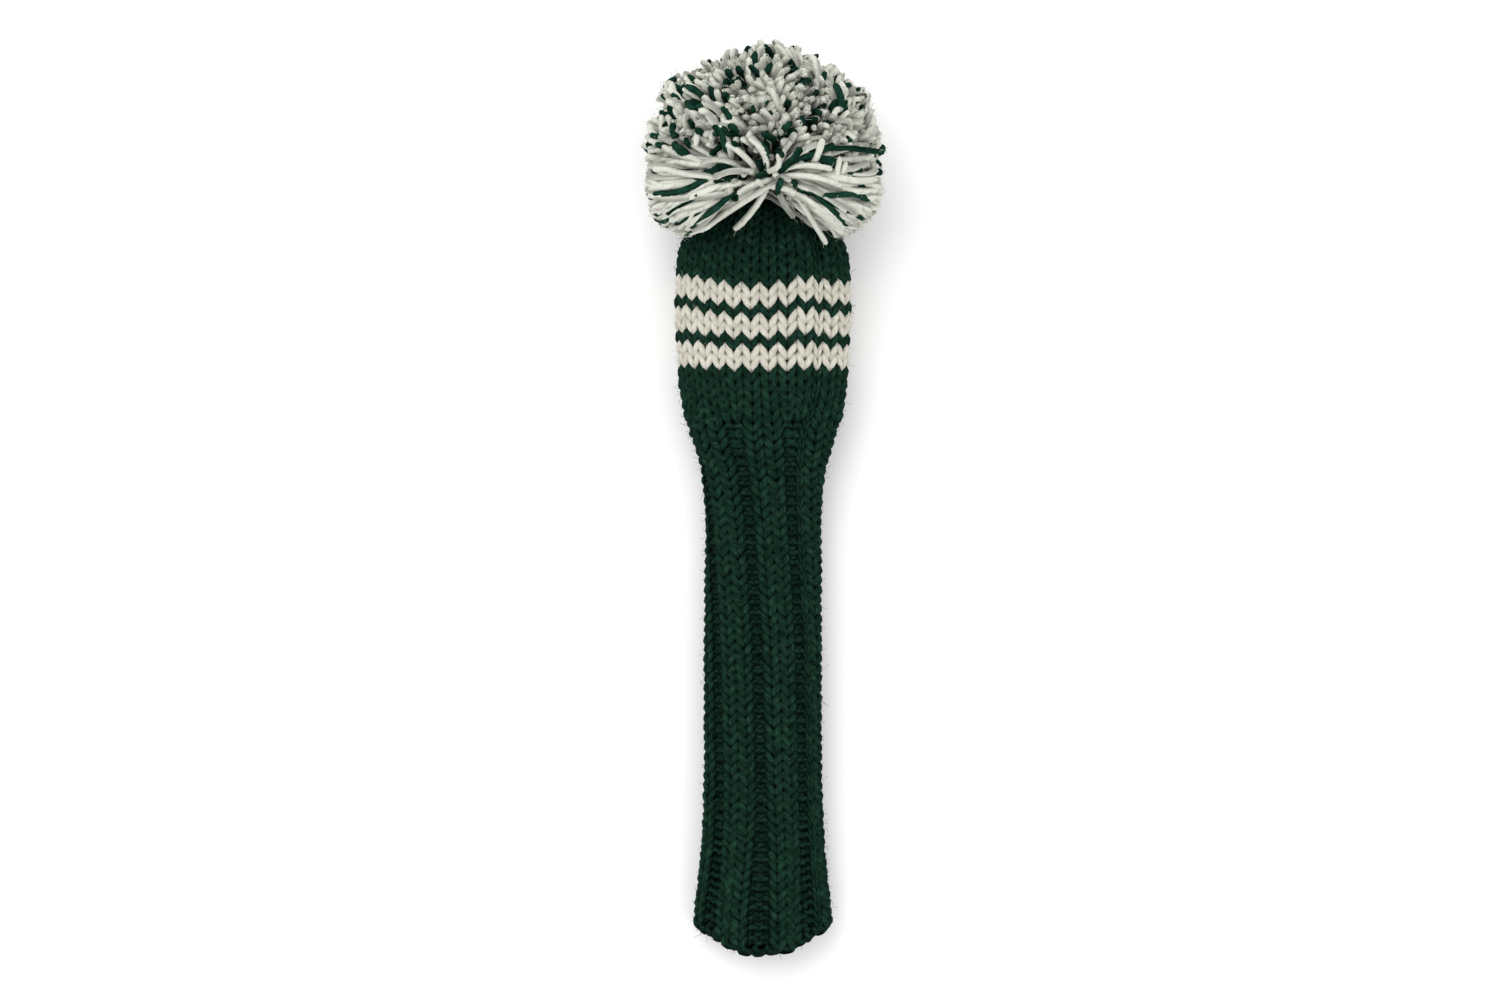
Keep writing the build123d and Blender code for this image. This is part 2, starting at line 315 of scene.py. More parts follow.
def fuzz_part(centres, lifts, reach, painted_shade_relief, count, seed):
    """Loose fibres that stand off the yarn: thin, short and bent."""
    local = np.random.default_rng(seed)
    yarns, points, _ = centres.shape
    yarn = local.integers(0, yarns, count)
    point = local.integers(0, points - 1, count)
    along = centres[yarn, point + 1] - centres[yarn, point]
    along /= np.linalg.norm(along, axis=1, keepdims=True) + 1e-12
    around = local.normal(size=(count, 3)) + lifts[yarn, point] * 0.9
    around -= along * np.sum(along * around, axis=1, keepdims=True)
    around /= np.linalg.norm(around, axis=1, keepdims=True) + 1e-12
    start = centres[yarn, point] + around * reach[yarn, point][:, None] * 0.9
    length = local.uniform(1.3, 3.3, size=(count, 1)) * MM
    way = along * local.choice([-1.0, 1.0], size=(count, 1)) + around * local.uniform(0.15, 0.8, (count, 1))
    curl = local.normal(size=(count, 3)) * 0.45
    t = np.array([0, 0.4, 0.75, 1.0])[None, :, None]
    path = start[:, None] + (way[:, None] * t + curl[:, None] * t * t) * length[:, None]
    path[..., 2] = np.maximum(path[..., 2], 0.1 * MM)
    thick = np.full(path.shape[:2], 0.07 * MM)
    sides = np.broadcast_to(local.normal(size=(count, 1, 3)), path.shape)
    # Loose fibres are given a greater height, so they get less painted shade.
    painted_shade_height = np.broadcast_to(painted_shade_relief[yarn, point][:, None], thick.shape) + 1.2 * MM
    return yarn_part(path, sides, painted_shade_height, thick, thick, False, sides=3)


def yarn_mesh(name, *parts):
    """One mesh of several parts."""
    first, verts, quads, uv, caps, painted_shade_height = 0, [], [], [], [], []
    for part_verts, part_quads, part_uv, part_caps, part_shade_height in parts:
        verts.append(part_verts)
        quads.append(part_quads + first)
        uv.append(part_uv)
        caps += [[index + first for index in cap] for cap in part_caps]
        painted_shade_height.append(part_shade_height)
        first += len(part_verts)
    mesh = build_mesh(name, np.concatenate(verts), np.concatenate(quads), np.concatenate(uv), caps)
    # Stored per point for the wool materials' painted shade.
    layer = mesh.attributes.new("painted_shade_relief", "FLOAT", "POINT")
    layer.data.foreach_set("value", np.ascontiguousarray(np.concatenate(painted_shade_height), np.float32))
    return mesh


def build_mesh(name, verts, quads, uv, extra):
    mesh = bpy.data.meshes.new(name)
    mesh.vertices.add(len(verts))
    mesh.vertices.foreach_set("co", np.ascontiguousarray(verts, np.float32).ravel())
    loops = np.concatenate([quads.ravel(), np.array([i for face in extra for i in face], int)])
    mesh.loops.add(len(loops))
    mesh.loops.foreach_set("vertex_index", loops.astype(np.int32))
    sizes = np.concatenate([np.full(len(quads), 4), np.array([len(f) for f in extra], int)])
    starts = np.concatenate([[0], np.cumsum(sizes)[:-1]])
    mesh.polygons.add(len(sizes))
    mesh.polygons.foreach_set("loop_start", starts.astype(np.int32))
    mesh.polygons.foreach_set("loop_total", sizes.astype(np.int32))
    mesh.polygons.foreach_set("use_smooth", np.ones(len(sizes), bool))
    layer = mesh.uv_layers.new(name="yarn")
    full = np.zeros((len(loops), 2), np.float32)
    full[:len(uv)] = uv
    layer.data.foreach_set("uv", full.ravel())
    mesh.update(calc_edges=True)
    mesh.validate()
    return mesh


def place(name, mesh, material):
    piece = bpy.data.objects.new(name, mesh)
    bpy.context.scene.collection.objects.link(piece)
    mesh.materials.append(material)
    return piece


LOOP_WIDE, RIB_LOOP_WIDE = 1.50 / TAU, 1.76 / TAU      # how far a loop leans, in columns
LOOP_TALL, RIB_LOOP_TALL = 1.02, 0.86                  # half of a loop's height, in rows
LOOP_DEEP = 1.8 * MM                                   # how far a loop dips under the next
CHANNEL_DEEP = 2.9 * MM                                # how far the purl columns sink
CROWN_FROM = 0.118                                     # where the crown begins to draw in
HAIRS_PER_STITCH = 9
HAIRS_PER_STRAND = 4


def stitch_rows(name, rows):
    """Rings of knitted stitches, one for each row number."""
    count = COLUMNS_ROUND * STEPS
    c = np.arange(count) / STEPS
    at = ROW_AT[rows][:, None] + np.zeros((1, count))
    kinds = np.array([ROW_KIND[r] for r in rows])
    ribbed = (kinds == "rib")[:, None] * np.ones((1, count))
    cc = np.broadcast_to(c[None, :], at.shape)
    t = TAU * cc
    knit = column_value(IS_KNIT, cc, 0.25) * 2 - 1
    face = np.where(ribbed > 0, knit, 1.0)
    first = np.floor(cc)
    width = (column_fraction(at, first + 1.0 - 1e-6) - column_fraction(at, first)) * lookup(GIRTH, at)
    gather = np.where(at > CROWN_FROM, np.clip(width / (7.0 * MM), 0.3, 1), 1.0)
    wobble = column_noise(rows, cc)
    plain = smooth(0.020, 0.062, at)
    x = cc + (RIB_LOOP_WIDE * (1 - plain) + LOOP_WIDE * plain) * np.sin(2 * t)
    y = -(RIB_LOOP_TALL * RIB_ROW * (1 - plain) + LOOP_TALL * ROW * plain) * np.cos(t)
    z = -LOOP_DEEP * np.cos(2 * t) * face
    channel = (1 - column_value(IS_KNIT, cc, 0.8)) * (1 - smooth(0.010, 0.048, at))
    seam = column_value(IS_SEAM, cc, 0.4)
    sunk = CHANNEL_DEEP * channel + 1.2 * MM * seam
    m = at + y + wobble[..., 0] * 0.28 * MM + row_rise(at, cc)
    f = column_fraction(m, x)
    centres = surface(m, f, z - sunk + wobble[..., 1] * 0.2 * MM)
    outer = surface(m, f, z - sunk + 1.0 * MM)
    lifts = outer - centres
    lifts /= np.linalg.norm(lifts, axis=2, keepdims=True) + 1e-12
    leg = np.abs(np.sin(t))
    out_radius = YARN * (0.76 + 0.16 * leg) * gather
    room = np.maximum(leg * 0.245 * width, 0.9 * MM * leg) + (1 - leg) * 0.29 * ROW
    side_radius = np.minimum(YARN * (0.72 + 0.2 * leg), room) * gather
    # Painted shade: loops that dip under the next row and the sunk purl channels get a low height, which
    # darkens their colour.
    painted_shade_relief = z * 0.75 - 0.3 * sunk
    knit = yarn_part(centres, lifts, painted_shade_relief, out_radius, side_radius, True, TAU / (10 * MM), 0.09)
    hairs = HAIRS_PER_STITCH * COLUMNS_ROUND * len(rows)
    return yarn_mesh(name, knit, fuzz_part(centres, lifts, out_radius, painted_shade_relief, hairs, 900 + int(rows[0])))


def column_noise(rows, c):
    """Slow unevenness of hand knitting, the same for a row wherever it is asked for."""
    result = np.zeros(c.shape + (2,))
    for line, row in enumerate(rows):
        local = np.random.default_rng(500 + int(row))
        knots = local.normal(size=(COLUMNS_ROUND, 2))
        knots = np.concatenate([knots, knots[:1]])
        for k in range(2):
            result[line, :, k] = np.interp(np.mod(c[line], COLUMNS_ROUND),
                                           np.arange(COLUMNS_ROUND + 1), knots[:, k])
    return result


# ---------------------------------------------------------------- materials
def wool(name, base, light, dark, sheen=0.25, shade=0.5, gloss=0.06):
    """Spun wool: fibres along the yarn, tone by patch, and painted shade: the colour darkened where the yarn
    dips under, read from the mesh's height attribute.
    """
    material = bpy.data.materials.new(name)
    material.use_nodes = True
    nodes, links = material.node_tree.nodes, material.node_tree.links
    nodes.clear()
    output = nodes.new("ShaderNodeOutputMaterial")
    shader = nodes.new("ShaderNodeBsdfPrincipled")
    shader.inputs["Roughness"].default_value = 0.92
    shader.inputs["Specular IOR Level"].default_value = gloss
    shader.inputs["Sheen Weight"].default_value = sheen
    shader.inputs["Sheen Roughness"].default_value = 0.5
    links.new(shader.outputs[0], output.inputs["Surface"])
    coords = nodes.new("ShaderNodeTexCoord")
    split = nodes.new("ShaderNodeSeparateXYZ")
    links.new(coords.outputs["UV"], split.inputs[0])
    lean = nodes.new("ShaderNodeMath")
    lean.operation = "MULTIPLY_ADD"
    links.new(split.outputs["Y"], lean.inputs[0])
    lean.inputs[1].default_value = -90.0
    links.new(split.outputs["X"], lean.inputs[2])
    stretched = nodes.new("ShaderNodeCombineXYZ")
    links.new(lean.outputs[0], stretched.inputs["X"])
    links.new(split.outputs["Y"], stretched.inputs["Y"])
    fibre_space = nodes.new("ShaderNodeMapping")
    fibre_space.inputs["Scale"].default_value = (26, 240, 1)
    links.new(stretched.outputs[0], fibre_space.inputs["Vector"])
    fibres = nodes.new("ShaderNodeTexNoise")
    fibres.inputs["Scale"].default_value = 1.0
    fibres.inputs["Detail"].default_value = 3.0
    links.new(fibre_space.outputs[0], fibres.inputs["Vector"])
    patches = nodes.new("ShaderNodeTexNoise")
    patches.inputs["Scale"].default_value = 260.0
    patches.inputs["Detail"].default_value = 2.0
    links.new(coords.outputs["Object"], patches.inputs["Vector"])
    mixed = nodes.new("ShaderNodeMath")
    mixed.operation = "MULTIPLY_ADD"
    links.new(fibres.outputs["Fac"], mixed.inputs[0])
    mixed.inputs[1].default_value = 0.65
    blend = nodes.new("ShaderNodeMath")
    blend.operation = "MULTIPLY"
    links.new(patches.outputs["Fac"], blend.inputs[0])
    blend.inputs[1].default_value = 0.35
    links.new(blend.outputs[0], mixed.inputs[2])
    ramp = nodes.new("ShaderNodeValToRGB")
    ramp.color_ramp.elements[0].position = 0.34
    ramp.color_ramp.elements[0].color = (*dark, 1)
    ramp.color_ramp.elements[1].position = 0.68
    ramp.color_ramp.elements[1].color = (*light, 1)
    middle = ramp.color_ramp.elements.new(0.5)
    middle.color = (*base, 1)
    links.new(mixed.outputs[0], ramp.inputs["Fac"])
    # Painted shade: the colour is multiplied down to the shade factor where the mesh's height attribute is
    # low, standing in for the shadow between yarns.
    painted_shade_height = nodes.new("ShaderNodeAttribute")
    painted_shade_height.attribute_name = "painted_shade_relief"
    painted_shade_factor = nodes.new("ShaderNodeMapRange")
    painted_shade_factor.interpolation_type = "SMOOTHSTEP"
    painted_shade_factor.inputs["From Min"].default_value = 0.2 * MM
    painted_shade_factor.inputs["From Max"].default_value = 2.6 * MM
    painted_shade_factor.inputs["To Min"].default_value = shade
    painted_shade_factor.inputs["To Max"].default_value = 1.0
    links.new(painted_shade_height.outputs["Fac"], painted_shade_factor.inputs["Value"])
    shaded = nodes.new("ShaderNodeMix")
    shaded.data_type = "RGBA"
    shaded.blend_type = "MULTIPLY"
    shaded.inputs["Factor"].default_value = 1.0
    links.new(ramp.outputs["Color"], shaded.inputs[6])
    links.new(painted_shade_factor.outputs["Result"], shaded.inputs[7])
    links.new(shaded.outputs[2], shader.inputs["Base Color"])
    bump = nodes.new("ShaderNodeBump")
    bump.inputs["Strength"].default_value = 0.55
    bump.inputs["Distance"].default_value = 0.0005
    links.new(fibres.outputs["Fac"], bump.inputs["Height"])
    links.new(bump.outputs[0], shader.inputs["Normal"])
    return material


# The last three numbers are sheen, the floor of the painted shade, and gloss.
green_wool = wool("green_wool", (0.0064, 0.0235, 0.0148), (0.019, 0.060, 0.039), (0.0020, 0.0085, 0.0052),
                  0.0, 0.12, 0.02)
white_wool = wool("white_wool", (0.565, 0.545, 0.47), (0.70, 0.68, 0.61), (0.41, 0.39, 0.32), 0.1, 0.36)


# ---------------------------------------------------------------- camera, floor and light
SENSOR = 36                             # width of the camera's sensor, in mm
VIEW_WIDTH = 0.75                       # width of what the camera sees near the cover
CAMERA_HEIGHT = 2.2


def stage_scene():
    camera_data = bpy.data.cameras.new("camera")
    camera = bpy.data.objects.new("camera", camera_data)
    bpy.context.scene.collection.objects.link(camera)
    camera.location = (-0.0065, 0.0, CAMERA_HEIGHT)
    camera.rotation_euler = (0, 0, 0)
    camera_data.lens = SENSOR * 2.18 / VIEW_WIDTH
    camera_data.sensor_width = SENSOR
    camera_data.clip_end = 20
    bpy.context.scene.camera = camera
    floor_mesh = bpy.data.meshes.new("floor")
    reach = 4.0
    floor_mesh.from_pydata([(-reach, -reach, 0), (reach, -reach, 0), (reach, reach, 0), (-reach, reach, 0)],
                           [], [(0, 1, 2, 3)])
    floor = bpy.data.objects.new("floor", floor_mesh)
    bpy.context.scene.collection.objects.link(floor)
    paper = bpy.data.materials.new("paper")
    paper.use_nodes = True
    paper.node_tree.nodes["Principled BSDF"].inputs["Base Color"].default_value = (0.97, 0.97, 0.97, 1)
    paper.node_tree.nodes["Principled BSDF"].inputs["Roughness"].default_value = 0.9
    floor_mesh.materials.append(paper)
    world = bpy.data.worlds.new("studio")
    world.use_nodes = True
    world.node_tree.nodes["Background"].inputs["Color"].default_value = (1, 1, 1, 1)
    world.node_tree.nodes["Background"].inputs["Strength"].default_value = 0.90
    bpy.context.scene.world = world
    for name, spot, size, power in (("key", (-0.9, 1.0, 1.9), 2.4, 26), ("fill", (1.3, -0.5, 1.6), 2.4, 10)):
        data = bpy.data.lights.new(name, "AREA")
        data.shape = "DISK"
        data.size = size
        data.energy = power
        lamp = bpy.data.objects.new(name, data)
        lamp.location = spot
        lamp.rotation_euler = (Vector((0, 0, 0)) - Vector(spot)).to_track_quat("-Z", "Y").to_euler()
        bpy.context.scene.collection.objects.link(lamp)
    bpy.context.scene.view_settings.view_transform = "Standard"


stage_scene()


# ---------------------------------------------------------------- the knitted pieces
fold_low, fold_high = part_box("neck_fold_rib")
swing_low, swing_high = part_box("neck_swing_rib")
bend_low, bend_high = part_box("cuff_bend_rib")


# piece name, row kind, rows from, rows to, body or the two bodies that it bends between, CAD node
CUFF_TOP, CUFF_ZONE_TOP = bend_low[1], bend_high[1]
LOWER_NECK_TOP, SWING_ZONE_TOP = swing_low[1], swing_high[1]
MID_NECK_TOP, FOLD_ZONE_TOP = fold_low[1], fold_high[1]
KNITTED = [
    ("cuff_knit", None, -1, CUFF_TOP, "cuff", "cuff_rib"),
    ("cuff_bend_knit", None, CUFF_TOP, CUFF_ZONE_TOP, ("lower_neck", "cuff"), "cuff_bend_rib"),
    ("lower_neck_knit", None, CUFF_ZONE_TOP, LOWER_NECK_TOP, "lower_neck", "lower_neck_rib"),
    ("neck_swing_knit", None, LOWER_NECK_TOP, SWING_ZONE_TOP, ("mid_neck", "lower_neck"), "neck_swing_rib"),
    ("mid_neck_knit", None, SWING_ZONE_TOP, MID_NECK_TOP, "mid_neck", "mid_neck_rib"),
    ("neck_fold_knit", None, MID_NECK_TOP, FOLD_ZONE_TOP, ("head", "mid_neck"), "neck_fold_rib"),
    ("shoulder_knit", "rib", FOLD_ZONE_TOP, 1, "head", "shoulder_rib"),
    ("head_knit", "body", -1, 1, "head", "head_body"),
    ("lower_white_stripe_knit", "white1", -1, 1, "head", "lower_white_stripe"),
    ("lower_green_stripe_knit", "green1", -1, 1, "head", "lower_green_stripe"),
    ("middle_white_stripe_knit", "white2", -1, 1, "head", "middle_white_stripe"),
    ("upper_green_stripe_knit", "green2", -1, 1, "head", "upper_green_stripe"),
    ("upper_white_stripe_knit", "white3", -1, 1, "head", "upper_white_stripe"),
    ("crown_knit", "crown", -1, 1, "head", "crown_panel"),
]

for name, kind, low, high, bodies, node in KNITTED:
    rows = [k for k, m in enumerate(ROW_AT)
            if low <= m < high and (kind is None or ROW_KIND[k] == kind)]
    white = "white" in name
    knit = place(name, stitch_rows(name, rows), white_wool if white else green_wool)
    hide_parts(node)
    if isinstance(bodies, str):
        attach(knit, bodies)
    else:
        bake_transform(knit)


def yarn_along(name, path, radius, material, slot, body, *nodes, closed=False):
    """One length of yarn along a path of points."""
    path = np.asarray(path, float)[None]
    lifts = np.zeros_like(path) + np.array([0.31, 0.22, 0.92])
    thick = np.full(path.shape[:2], radius)
    # An even height for the painted shade.
    painted_shade_relief = np.full_like(thick, 0.5 * MM)
    mesh = yarn_mesh(name, yarn_part(path, lifts, painted_shade_relief, thick, thick, closed, TAU / (9 * MM), 0.09))
    piece = place(name, mesh, material)
    if isinstance(body, str):
        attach(piece, body)
    if nodes:
        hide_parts(*nodes)
    return piece


SEAM_COLUMN = COLUMNS.index("S") + 0.5
SEAM_LENGTHS = [
    ("cuff_seam", -LENGTH_HALF + 0.006, CUFF_TOP, "cuff"),
    ("cuff_bend_seam", CUFF_TOP, CUFF_ZONE_TOP, ("lower_neck", "cuff")),
    ("lower_neck_seam", CUFF_ZONE_TOP, LOWER_NECK_TOP, "lower_neck"),
    ("neck_swing_seam", LOWER_NECK_TOP, SWING_ZONE_TOP, ("mid_neck", "lower_neck")),
    ("mid_neck_seam", SWING_ZONE_TOP, MID_NECK_TOP, "mid_neck"),
    ("neck_fold_seam", MID_NECK_TOP, FOLD_ZONE_TOP, ("head", "mid_neck")),
    ("shoulder_seam", FOLD_ZONE_TOP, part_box("shoulder_rib")[1][1], "head"),
    ("head_seam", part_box("shoulder_rib")[1][1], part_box("head_body")[1][1], "head"),
]
for name, low, high, bodies in SEAM_LENGTHS:
    m = np.linspace(low, high, max(8, int((high - low) / (0.55 * MM))))
    beat = TAU * m / RIB_ROW
    c = SEAM_COLUMN + 0.25 * np.sin(beat)
    m = m + row_rise(m, c) * (m < -0.14)
    path = surface(m, column_fraction(m, c), (-1.2 + 1.0 * np.cos(beat)) * MM)
    seam = yarn_along(name + "_stitches", path, 1.15 * MM, green_wool, "seam_yarn", bodies, name + "_yarn")
    if not isinstance(bodies, str):
        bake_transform(seam)


def cast_on_edge():
    """The cast-on: one slanting wrap of yarn under each stitch of the hem."""
    c = np.linspace(0, COLUMNS_ROUND, COLUMNS_ROUND * 16, endpoint=False)
    m = np.full_like(c, ROW_AT[0] - 0.45 * RIB_ROW)
    turn = TAU * c
    m = m + row_rise(m, c) + 1.1 * MM * np.sin(turn)
    path = surface(m, column_fraction(m, c + 0.2 * np.cos(turn)), (1.2 * np.cos(turn) - 0.4) * MM)
    yarn_along("cast_on_edge", path, 1.55 * MM, green_wool, "green_knit", "cuff", "cast_on_hem", closed=True)


cast_on_edge()


def wound_ring(centre, axis, radius, wraps, spacing, points=40):
    """Points of a yarn wound round a ring, wrap beside wrap."""
    axis = Vector(axis).normalized()
    first = axis.orthogonal().normalized()
    second = axis.cross(first)
    t = np.linspace(0, wraps, int(points * wraps))
    angle = TAU * t
    return [Vector(centre) + first * float(radius * np.cos(a)) + second * float(radius * np.sin(a))
            + axis * float(spacing * (k - wraps / 2)) for a, k in zip(angle, t)]


def small_yarns():
    low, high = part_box("crown_drawstring")
    middle = [(p + q) / 2 for p, q in zip(low, high)]
    path = wound_ring(middle, (0, 1, 0), 6.5 * MM, 2.6, 2.0 * MM)
    yarn_along("drawstring_winding", path, 1.3 * MM, green_wool, "green_knit", "head", "crown_drawstring")
    low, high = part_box("carried_white_yarn")
    m = np.linspace(low[1], high[1], 60)
    x, z = (low[0] + high[0]) / 2, (low[2] + high[2]) / 2
    sag = np.sin(math.pi * (m - low[1]) / (high[1] - low[1]))
    path = np.stack([x + 0.4 * MM * np.sin(m * 900), m, z - 1.2 * MM * sag], axis=-1)
    yarn_along("carried_white_float", path, 1.4 * MM, white_wool, "white_knit", "head", "carried_white_yarn")
    low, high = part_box("anchor_knot")
    knot = np.array([(p + q) / 2 for p, q in zip(low, high)])
    t = np.linspace(0, TAU, 120, endpoint=False)
    trefoil = np.stack([np.sin(t) + 2 * np.sin(2 * t), 1.5 * np.sin(3 * t),
                        np.cos(t) - 2 * np.cos(2 * t)], axis=-1)
    yarn_along("tie_knot", knot + trefoil * 1.55 * MM, 1.5 * MM, green_wool, "tie_yarn", "tie",
               "anchor_knot", closed=True)
    low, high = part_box("pompom_tie_tails")
    tail_y = np.linspace(low[1] - 2 * MM, high[1], 40)
    for sign in (-1, 1):
        twist = (tail_y - tail_y[0]) * 260
        path = np.stack([sign * 1.25 * MM * np.cos(twist), tail_y,
                         knot[2] + sign * 1.25 * MM * np.sin(twist)], axis=-1)
        nodes = ("pompom_tie_tails",) if sign > 0 else ()
        side_name = "right" if sign > 0 else "left"
        yarn_along(f"tie_tail_{side_name}", path, 1.3 * MM, green_wool, "tie_yarn", "tie", *nodes)
    low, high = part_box("pompom_tie")
    waist = ((low[0] + high[0]) / 2, high[1] - 9.8 * MM, high[2] - 9.8 * MM)
    wraps = wound_ring(waist, (1, 0, 0), 8.0 * MM, 3.0, 1.9 * MM)
    stem = [Vector((0.3 * MM, low[1] + k * 1.2 * MM, low[2] + 2.2 * MM + k * 1.1 * MM)) for k in range(5)]
    yarn_along("waist_winding", wraps, 1.5 * MM, green_wool, "tie_yarn", "pompom", "pompom_tie")
    yarn_along("waist_stem", stem, 1.8 * MM, green_wool, "tie_yarn", "pompom")


small_yarns()

# ---------------------------------------------------------------- pom-pom
BALL = np.array([0.0, 0.1769, 0.0507])
BALL_RADII = np.array([0.0600, 0.0516, 0.0516])
WAIST = np.array([0.0, 0.160, 0.042])
STRAND = 1.56 * MM                      # radius of a strand
WAVES = 8                               # sine waves in a noise field
GREEN_SHARE, GREEN_DRAPED_SHARE = 0.23, 0.11
SKIRT_TOP = 0.156                       # strands with tips nearer the hem than this are the skirt


def noise_field(points, seed, wavelength):
    """A smooth vector field from a few sine waves."""
    local = np.random.default_rng(seed)
    total = np.zeros(points.shape[:-1] + (3,))
    for _ in range(WAVES):
        way = local.normal(size=3)
        way *= TAU / wavelength / np.linalg.norm(way) * local.uniform(0.6, 1.3)
        lean = local.normal(size=3)
        total += np.sin(points @ way + local.uniform(0, TAU))[..., None] * lean
    return total / math.sqrt(WAVES)


def strand_ends(count, seed, shrink):
    """Tips spread evenly over the ball, clear of the crown's parting."""
    local = np.random.default_rng(seed)
    index = np.arange(count) + 0.5
    up = 1 - 2 * index / count
    turn = index * math.pi * (3 - math.sqrt(5))
    ring = np.sqrt(1 - up * up)
    way = np.stack([ring * np.cos(turn), up, ring * np.sin(turn)], axis=-1)
    way += local.normal(size=way.shape) * 0.035
    way /= np.linalg.norm(way, axis=1, keepdims=True)
    ends = BALL + way * BALL_RADII * shrink * (1 + local.normal(size=(count, 1)) * 0.035)
    ends += noise_field(ends, seed + 1, 0.030) * 2.6 * MM
    x, y, z = ends.T
    parted = (y < 0.153) & (np.abs(x) < 1.25 * (0.153 - y) + 0.002)
    inside_crown = (y < 0.150) & ((x / 0.047) ** 2 + ((z - 0.028) / 0.026) ** 2 < 1)
    draped = (y < 0.172) & (z > 0.060) & (local.uniform(size=count) < 0.7)
    return ends[~(parted | inside_crown | draped)]


def draped_paths(count, seed):
    """Strands that leave the parting and lie along the front of the ball, to both sides."""
    local = np.random.default_rng(seed)
    side = np.where(np.arange(count) % 2 == 0, 1.0, -1.0)
    lean = np.radians(local.uniform(-42, 34, size=count))
    level = local.uniform(0, 1, size=count)
    start = np.stack([side * local.uniform(0, 7, count), 156 + local.uniform(-4, 9, count),
                      52 + 20 * level + local.normal(size=count)], axis=-1) * MM
    reach = (43 + 13 * local.uniform(0, 1, count) ** 0.6) * MM
    end = np.stack([side * reach * np.cos(lean), 0.160 + reach * np.sin(lean),
                    (34 + 40 * level) * MM], axis=-1)
    end[:, 2] -= np.abs(lean) * 4 * MM
    rise = (10 + 14 * level)[:, None] * MM
    up = np.array([0.0, 0.0, 1.0])
    p1 = start + (end - start) * 0.30 + up * rise
    p2 = start + (end - start) * 0.72 + up * rise * 0.85
    p1[:, 1] += local.normal(size=count) * 3.5 * MM
    p2[:, 1] += local.normal(size=count) * 3.5 * MM
    t = strand_steps()[None, :, None]
    path = bezier(start, p1, p2, end, t)
    return clear_of_crown(wave(path, t, local, count), 2.0 * MM)


# Strands given one by one, in mm: start, two guides and end of each one.
LOOSE_STRANDS = [
    ((8, 156, 84), (2, 151, 90), (-14, 143, 82), (-31, 132, 62)),
    ((4, 155, 82), (0, 149, 86), (-4, 140, 78), (-14, 133, 60)),
    ((10, 157, 84), (16, 148, 90), (22, 139, 78), (31, 126, 56)),
    ((14, 159, 82), (21, 150, 88), (27, 142, 76), (36, 131, 54)),
    ((-2, 158, 84), (3, 160, 94), (10, 158, 96), (7, 167, 98)),
    ((0, 153, 82), (6, 151, 90), (10, 152, 92), (16, 148, 86)),
    ((8, 154, 80), (7, 147, 84), (10, 143, 76), (15, 139, 62)),
    ((-4, 157, 80), (-14, 150, 88), (-24, 144, 80), (-37, 137, 62)),
    ((4, 158, 84), (9, 162, 94), (9, 168, 98), (13, 173, 98)),
    ((-6, 158, 82), (-14, 164, 94), (-22, 166, 98), (-30, 163, 90)),
    ((-3, 154, 80), (-12, 146, 84), (-26, 143, 76), (-40, 143, 60)),
    ((12, 158, 84), (24, 154, 92), (34, 146, 82), (44, 140, 64)),
    ((2, 156, 84), (-6, 160, 95), (-16, 160, 97), (-24, 156, 90)),
    ((4, 157, 84), (12, 162, 96), (22, 163, 97), (33, 160, 90)),
    ((4, 156, 84), (14, 158, 95), (26, 157, 95), (38, 152, 84)),
    ((-1, 155, 82), (-10, 154, 92), (-20, 152, 92), (-32, 148, 80)),
    ((6, 158, 85), (10, 164, 97), (18, 169, 98), (27, 172, 94)),
    ((-2, 158, 85), (-6, 164, 97), (-13, 170, 99), (-20, 173, 96)),
    ((1, 158, 86), (3, 164, 98), (0, 170, 101), (-7, 175, 100)),
    ((8, 155, 82), (18, 152, 92), (28, 149, 88), (40, 146, 74)),
    ((0, 154, 80), (-6, 150, 88), (-13, 146, 84), (-22, 141, 70)),
    ((5, 156, 86), (1, 154, 93), (-6, 153, 94), (-12, 148, 88)),
]
LOOSE_GREENS = [
    ((-9, 154, 80), (-15, 158, 90), (-24, 158, 90), (-33, 152, 80)),
    ((-8, 155, 80), (-14, 161, 92), (-26, 161, 92), (-32, 156, 84)),
    ((-8, 152, 80), (-16, 154, 88), (-24, 153, 88), (-31, 149, 78)),
    ((-10, 156, 82), (-16, 161, 93), (-22, 164, 95), (-25, 158, 90)),
    ((-9, 153, 82), (-13, 157, 91), (-20, 157, 92), (-27, 152, 84)),
    ((12, 160, 84), (25, 168, 97), (40, 166, 90), (54, 146, 66)),
    ((14, 161, 84), (27, 170, 96), (41, 166, 88), (53, 148, 66)),
    ((14, 166, 86), (28, 171, 97), (42, 171, 90), (56, 170, 72)),
    ((8, 158, 84), (12, 157, 92), (17, 151, 88), (22, 147, 80)),
    ((2, 158, 86), (0, 163, 96), (4, 168, 99), (-2, 172, 99)),
    ((4, 156, 84), (8, 160, 94), (14, 162, 97), (18, 170, 97)),
    ((16, 152, 80), (22, 148, 84), (26, 144, 78), (33, 143, 68)),
    ((-20, 150, 76), (-32, 148, 80), (-42, 142, 70), (-50, 136, 52)),
    ((6, 160, 86), (16, 166, 96), (24, 166, 95), (34, 172, 90)),
]


def strand_steps():
    return np.array([0, 0.09, 0.18, 0.27, 0.36, 0.45, 0.54, 0.63, 0.72, 0.80, 0.87, 0.93, 0.965, 0.988, 1.0])


def bezier(p0, p1, p2, p3, t):
    return ((1 - t) ** 3 * p0[:, None] + 3 * (1 - t) ** 2 * t * p1[:, None]
            + 3 * (1 - t) * t ** 2 * p2[:, None] + t ** 3 * p3[:, None])


